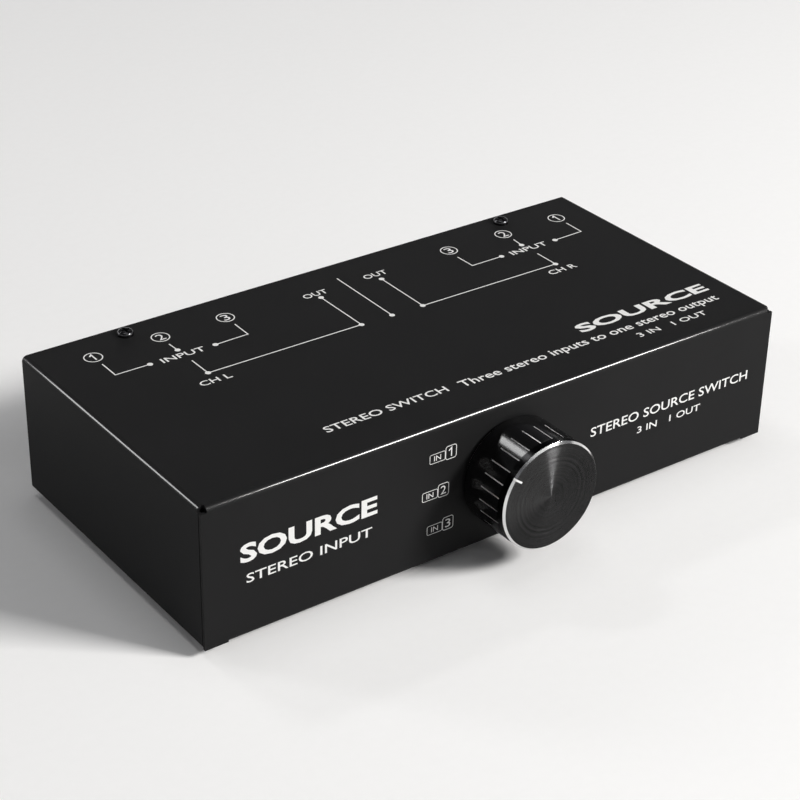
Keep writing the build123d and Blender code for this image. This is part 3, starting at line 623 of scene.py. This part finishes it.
ink = bmesh.new()
for number, x, z in knob_places:
    tag = (x + tag_shift[0], z + tag_shift[1])
    prism(ink, [box_loop(tag, *tag_outer), box_loop(tag, *tag_inner)])
    word(ink, "IN", tag, *tag_word)
    window = (x + window_shift, z)
    prism(ink, [box_loop(window, *window_outer), box_loop(window, *window_inner)])
    figure(ink, number, window, window_figure)
for lettering in front_words:
    word(ink, *lettering)
printed(ink, "front_legend", (1, 0, 0), (0, 0, 1), (0, -1, 0), (0, lid_low.y, 0))


# Floor: plain studio paper that runs up into a low cove all round and takes the object's soft shadow.
# It shows white, as it does in metal, but throws less of its light back on the object.
paper_profile = (
    (0.7, 0.0), (1.75, 0.0), (2.0, 0.02), (2.2, 0.09), (2.33, 0.21), (2.4, 0.4), (2.4, 0.75),
)
paper_sides = 64
paper_drop = 0.0002
fibre_size = 0.004
paper_dim = (0.96, 0.96, 0.96, 1)
paper_clear = (0.99, 0.99, 0.99, 1)
paper_bounce = (0.45, 0.45, 0.45, 1)

sheet = bmesh.new()
centre = sheet.verts.new((0, 0, 0))
last = None
for reach, rise in paper_profile:
    ring = [sheet.verts.new((x, y, rise)) for x, y in round_loop((0, 0), reach, paper_sides)]
    for i in range(paper_sides):
        j = (i + 1) % paper_sides
        if last:
            sheet.faces.new((last[i], ring[i], ring[j], last[j]))
        else:
            sheet.faces.new((centre, ring[i], ring[j]))
    last = ring
for face in sheet.faces:
    face.smooth = True
paper_mesh = bpy.data.meshes.new("studio_paper")
sheet.to_mesh(paper_mesh)
sheet.free()
paper = bpy.data.objects.new("studio_paper", paper_mesh)
paper.location.z = -paper_drop
bpy.context.scene.collection.objects.link(paper)

paper_white, place, feed = finish("studio_paper")
fibre = place.grain(fibre_size, 3.0)
seen = place.node("ShaderNodeLightPath", {}, {}, "Is Camera Ray")
for ray in ("Is Glossy Ray", "Is Transmission Ray"):
    seen = place.math("MAXIMUM", seen, place.node("ShaderNodeLightPath", {}, {}, ray))
feed(
    Base_Color=seen.blend(paper_bounce, fibre.blend(paper_dim, paper_clear)),
    Roughness=0.9,
    Specular_IOR_Level=0.0,
)
paper_mesh.materials.append(paper_white)


# Studio light: a key lamp low in front to the right, a long soft box over the front, a square one overhead.
# A box behind to the left draws the left fold, and a strip behind draws the flank of the knob.
# A plain grey room, dark overhead, fills the shadows.
case_middle = Vector((0, 0, 0.03))
white_light = (1.0, 1.0, 1.0)
warm_light = (1.0, 0.985, 0.965)
wall_top = 0.38
ceiling = 0.80
ceiling_grey = (0.012, 0.012, 0.013, 1)
wall_grey = (0.155, 0.155, 0.164, 1)


def lamp(name, towards, along, distance, size, power, tint=white_light):
    """A soft box that faces the middle of the case, its first side set along a line."""
    light = bpy.data.lights.new(name, "AREA")
    light.shape = "RECTANGLE"
    light.size, light.size_y = size
    light.energy = power
    light.color = tint
    away = Vector(towards).normalized()
    side = Vector(along)
    side = (side - away * away.dot(side)).normalized()
    box = bpy.data.objects.new(name, light)
    box.matrix_world = Matrix((side, away.cross(side), away)).transposed().to_4x4()
    box.location = case_middle + away * distance
    bpy.context.scene.collection.objects.link(box)


lamp(
    "key_lamp", towards=(0.53, -0.66, 0.53), along=(0.66, 0.53, 0),
    distance=2.5, size=(0.66, 0.45), power=70, tint=warm_light,
)
lamp(
    "front_box", towards=(0.17, -0.60, 0.75), along=(0.60, 0.17, 0),
    distance=2.5, size=(3.0, 0.32), power=5.5,
)
lamp(
    "top_box", towards=(0, 0.1, 1), along=(1, 0, 0),
    distance=2.5, size=(1.2, 1.2), power=7,
)
lamp(
    "side_box", towards=(-0.593, 0.729, 0.342), along=(0.5, 0, 0.866),
    distance=2.0, size=(0.56, 0.30), power=5,
)
lamp(
    "knob_strip", towards=(-0.143, 0.637, 0.757), along=(0.983, 0, 0.186),
    distance=2.5, size=(0.45, 0.15), power=3.6,
)

room = bpy.data.worlds.new("room")
room.use_nodes = True
outward = Value(room.node_tree.nodes.new("ShaderNodeTexCoord").outputs["Generated"])
walls = outward.along("Z").fade(wall_top, ceiling).blend(ceiling_grey, wall_grey)
room.node_tree.links.new(walls.socket, room.node_tree.nodes["Background"].inputs["Color"])
bpy.context.scene.world = room


# Camera: where the photograph was taken from, in front of the left corner and above it.
# A slight roll keeps the verticals as they were taken.
target = Vector((-0.015063, -0.006591, 0.040250))
turn = math.radians(-36.452)
climb = math.radians(29.618)
roll = math.radians(1.119)
distance = 0.720043
back = Vector((math.sin(turn) * math.cos(climb), -math.cos(turn) * math.cos(climb), math.sin(climb)))
level = Vector((math.cos(turn), math.sin(turn), 0))
upright = back.cross(level)
right = level * math.cos(roll) + upright * math.sin(roll)
upward = upright * math.cos(roll) - level * math.sin(roll)
view = bpy.data.cameras.new("photo_camera")
view.sensor_width = 36
view.lens = 94.063
view.clip_start = 0.01
view.clip_end = 50
camera = bpy.data.objects.new("photo_camera", view)
camera.matrix_world = Matrix((right, upward, back)).transposed().to_4x4()
camera.location = target + back * distance
bpy.context.scene.collection.objects.link(camera)
bpy.context.scene.camera = camera
bpy.context.scene.view_settings.view_transform = "Standard"
